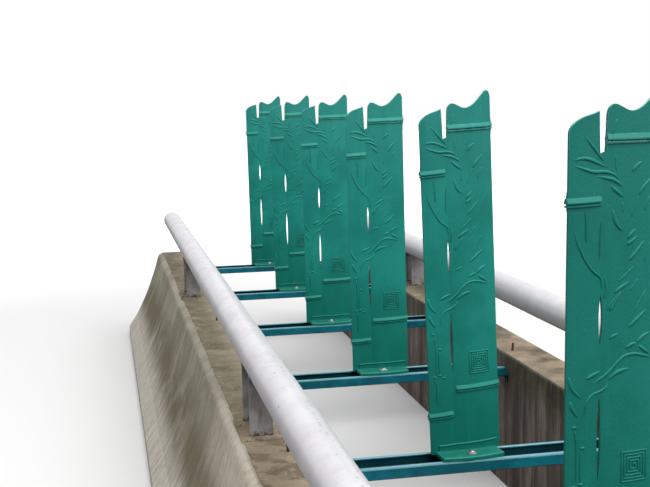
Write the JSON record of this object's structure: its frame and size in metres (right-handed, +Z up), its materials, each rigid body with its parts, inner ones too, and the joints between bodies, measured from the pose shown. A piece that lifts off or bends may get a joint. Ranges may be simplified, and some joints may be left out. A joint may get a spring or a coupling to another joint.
{
  "type": "median anti-glare screen section",
  "caption": "Row of moulded bamboo-shaped anti-glare panels on cross beams between two concrete parapet walls, each wall topped by a pipe rail.",
  "frame": {"origin": "middle of the section, on the ground midway between the two walls", "axes": "+Y along the road away from the viewer, +X from the near wall to the far wall, +Z up"},
  "size_m": [1.666, 5.4, 1.4575],
  "materials": {
    "concrete": "weathered cast concrete",
    "rail_paint": "light grey gloss paint, chipped",
    "post_paint": "grey paint, rusty at the foot",
    "beam_paint": "teal gloss paint",
    "galvanised": "dull zinc coating",
    "panel_green": "moulded glass-fibre plastic, satin green"
  },
  "bodies": {
    "root": {"clamp_plate_1": "galvanised", "clamp_plate_2": "galvanised", "clamp_plate_3": "galvanised", "clamp_plate_4": "galvanised", "clamp_plate_5": "galvanised", "clamp_plate_6": "galvanised", "cross_beam_1": "beam_paint", "cross_beam_2": "beam_paint", "cross_beam_3": "beam_paint", "cross_beam_4": "beam_paint", "cross_beam_5": "beam_paint", "cross_beam_6": "beam_paint", "far_cleat_1": "beam_paint", "far_cleat_2": "beam_paint", "far_cleat_3": "beam_paint", "far_cleat_4": "beam_paint", "far_cleat_5": "beam_paint", "far_cleat_6": "beam_paint", "far_rail": "rail_paint", "far_rail_post_1": "post_paint", "far_rail_post_2": "post_paint", "far_wall": "concrete", "near_cleat_1": "beam_paint", "near_cleat_2": "beam_paint", "near_cleat_3": "beam_paint", "near_cleat_4": "beam_paint", "near_cleat_5": "beam_paint", "near_cleat_6": "beam_paint", "near_rail": "rail_paint", "near_rail_post_1": "post_paint", "near_rail_post_2": "post_paint", "near_wall": "concrete", "screen_panel_1": "panel_green", "screen_panel_2": "panel_green", "screen_panel_3": "panel_green", "screen_panel_4": "panel_green", "screen_panel_5": "panel_green", "screen_panel_6": "panel_green"}
  },
  "joints": []
}
